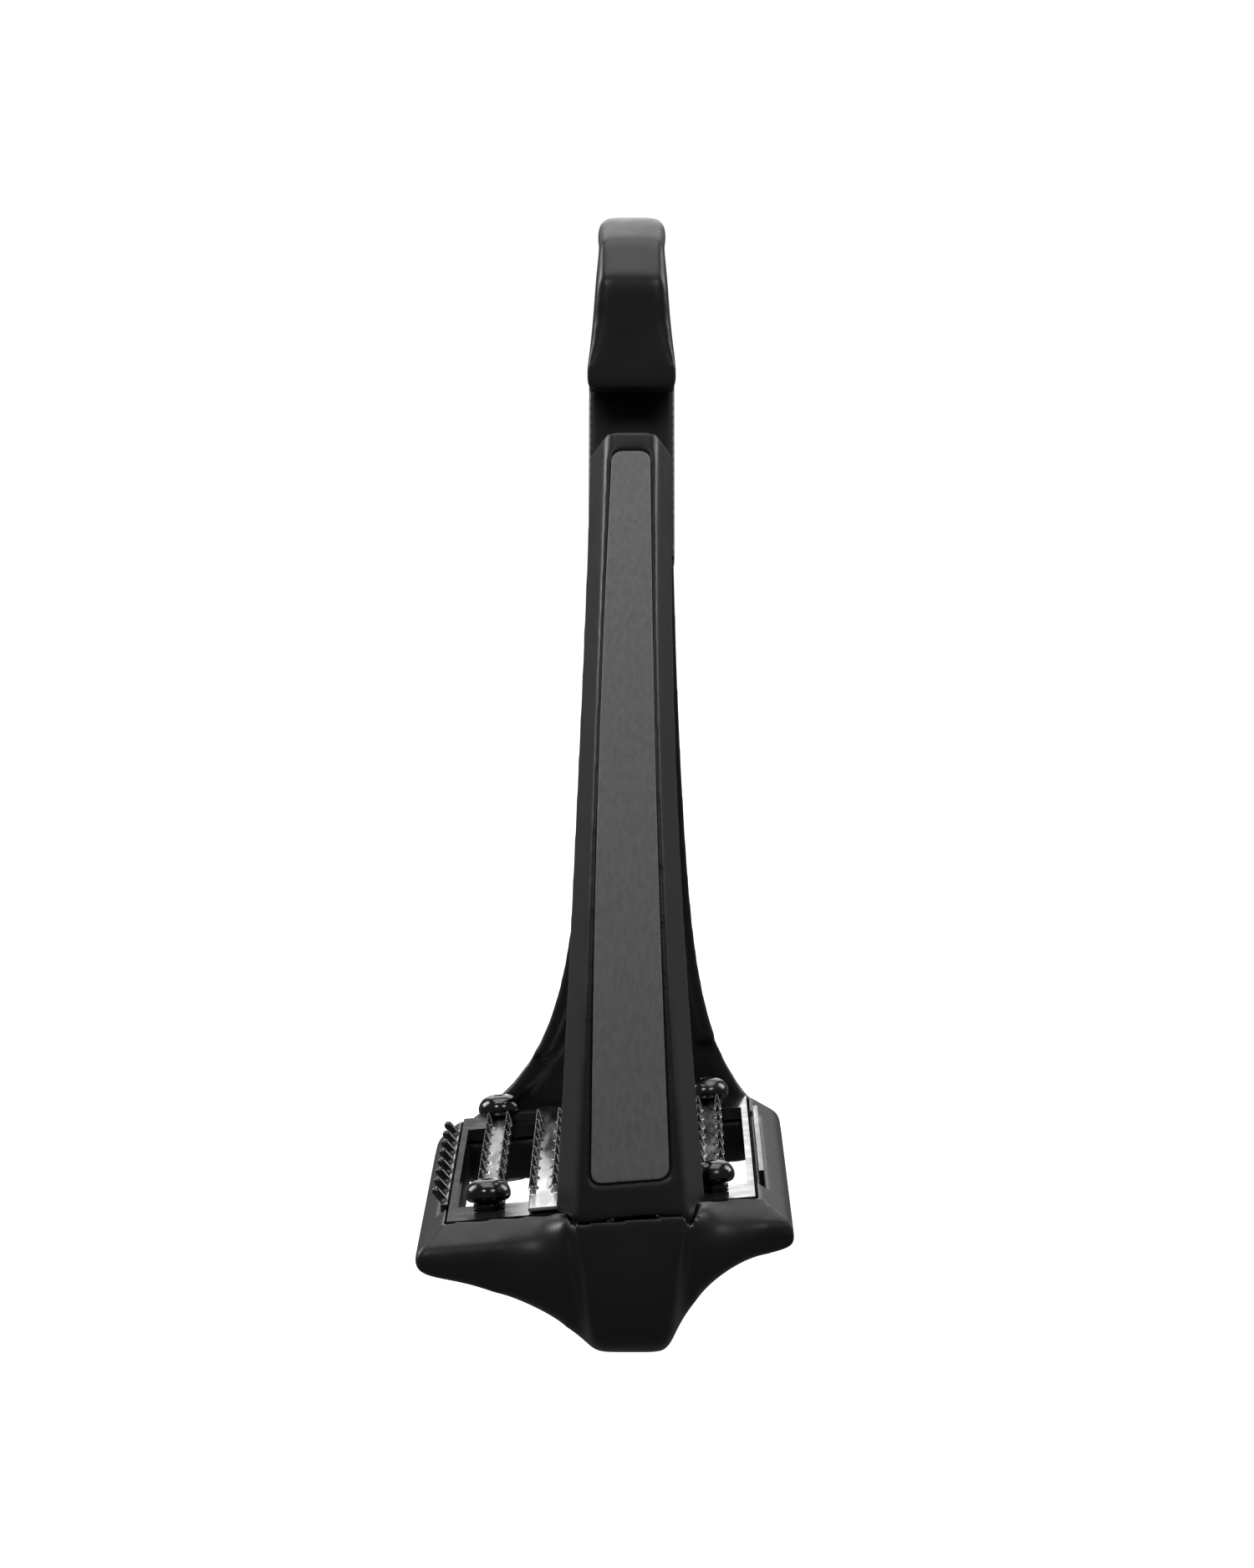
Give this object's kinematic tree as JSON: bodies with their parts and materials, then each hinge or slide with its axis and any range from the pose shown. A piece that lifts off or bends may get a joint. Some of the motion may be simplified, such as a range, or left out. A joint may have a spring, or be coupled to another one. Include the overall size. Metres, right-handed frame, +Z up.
{
  "type": "stirrup iron",
  "caption": "Safety stirrup in black coated alloy: offset sloping tread with toothed steel grips, strap eye on top, and an outer arm that swings open on a pin at its foot.",
  "frame": {"origin": "middle of the underside of the strap eye's top bar, where the stirrup leather bears", "axes": "+X from heel to toe, +Y from the rider's outer side to the horse's side, +Z up"},
  "size_m": [0.0554, 0.1425, 0.1635],
  "materials": {
    "black_satin": "satin black coating on cast light alloy",
    "grey_inlay": "satin grey, fine grained",
    "dark_steel": "polished dark steel",
    "bright_steel": "ground steel",
    "magnet": "nickel plated",
    "rubber": "matt",
    "bronze": "sintered bronze"
  },
  "bodies": {
    "frame": {"frame": "black_satin", "hinge_washer_heel": "bronze", "hinge_washer_toe": "bronze", "neck_magnet": "magnet", "catch_dowel": "bright_steel", "catch_bumper": "rubber", "tread_plate": "black_satin", "centre_grip": "dark_steel", "edge_comb": "dark_steel", "edge_ridge": "dark_steel", "grip_channel_heel": "dark_steel", "grip_channel_toe": "dark_steel", "dome_screw_1": "dark_steel", "dome_screw_2": "dark_steel", "dome_screw_3": "dark_steel", "dome_screw_4": "dark_steel", "thread_insert_1": "bright_steel", "thread_insert_2": "bright_steel", "thread_insert_3": "bright_steel", "thread_insert_4": "bright_steel"},
    "arm": {"release_arm": "black_satin", "arm_inlay": "grey_inlay", "hinge_pin": "bright_steel", "hinge_keeper_heel": "dark_steel", "hinge_keeper_toe": "dark_steel", "keeper_screw_heel": "dark_steel", "keeper_screw_toe": "dark_steel", "arm_magnet": "magnet"}
  },
  "joints": [
    {"name": "arm_release", "type": "hinge", "parent": "frame", "child": "arm", "pos_m": [-0.00034, -0.0653, -0.1335], "axis": [0.9965, 0, 0.0837], "range_deg": [0, 70]}
  ]
}
